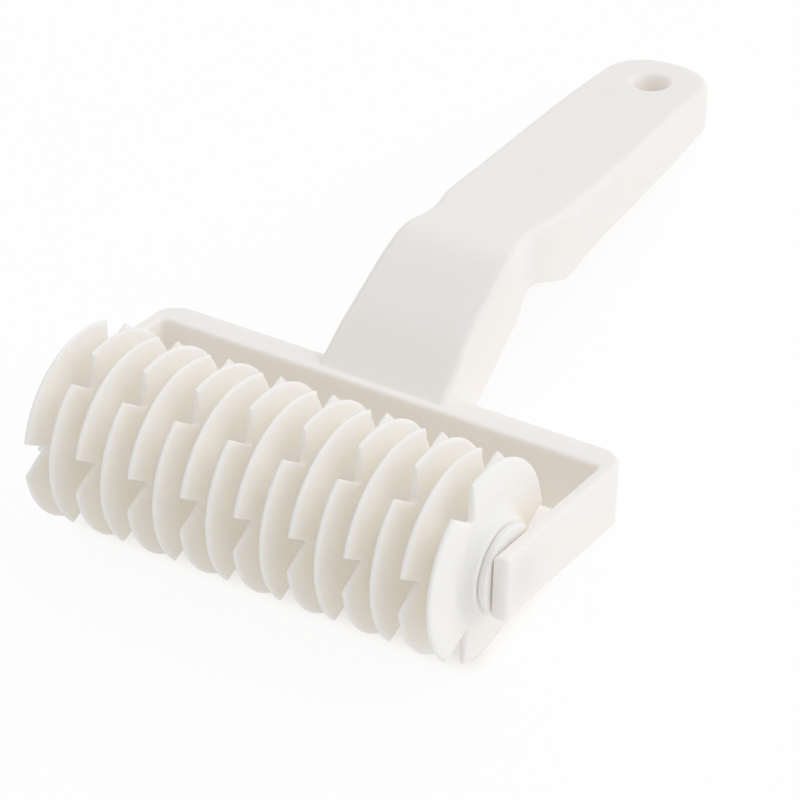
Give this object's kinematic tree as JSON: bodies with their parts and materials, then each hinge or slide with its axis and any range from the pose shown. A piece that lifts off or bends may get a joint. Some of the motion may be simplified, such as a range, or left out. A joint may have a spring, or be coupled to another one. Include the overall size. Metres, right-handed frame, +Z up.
{
  "type": "lattice roller cutter",
  "caption": "White plastic pastry tool: a roller of notched cutting discs turns between the two arms of a frame with a bent handle, to cut dough into a lattice.",
  "frame": {"origin": "middle of the outline on the table, with the tool resting on its discs and on the end of its handle", "axes": "+X along the roller to the right, +Y from the roller to the handle's end, +Z up"},
  "size_m": [0.1174, 0.1926, 0.044],
  "materials": {
    "frame_plastic": "satin",
    "disc_plastic": "satin",
    "axle_plastic": "satin",
    "collar_plastic": "satin"
  },
  "bodies": {
    "handle": {"handle_frame": "frame_plastic"},
    "roller": {"axle": "axle_plastic", "end_collar_left": "collar_plastic", "end_collar_right": "collar_plastic", "cutter_disc_01": "disc_plastic", "cutter_disc_02": "disc_plastic", "cutter_disc_03": "disc_plastic", "cutter_disc_04": "disc_plastic", "cutter_disc_05": "disc_plastic", "cutter_disc_06": "disc_plastic", "cutter_disc_07": "disc_plastic", "cutter_disc_08": "disc_plastic", "cutter_disc_09": "disc_plastic", "cutter_disc_10": "disc_plastic", "cutter_disc_11": "disc_plastic", "cutter_disc_12": "disc_plastic", "cutter_disc_13": "disc_plastic", "cutter_disc_14": "disc_plastic", "cutter_disc_15": "disc_plastic", "cutter_disc_16": "disc_plastic"}
  },
  "joints": [
    {"name": "roller_spin", "type": "hinge", "parent": "handle", "child": "roller", "pos_m": [0, -0.0743, 0.022], "axis": [1, 0, 0], "continuous": true}
  ]
}
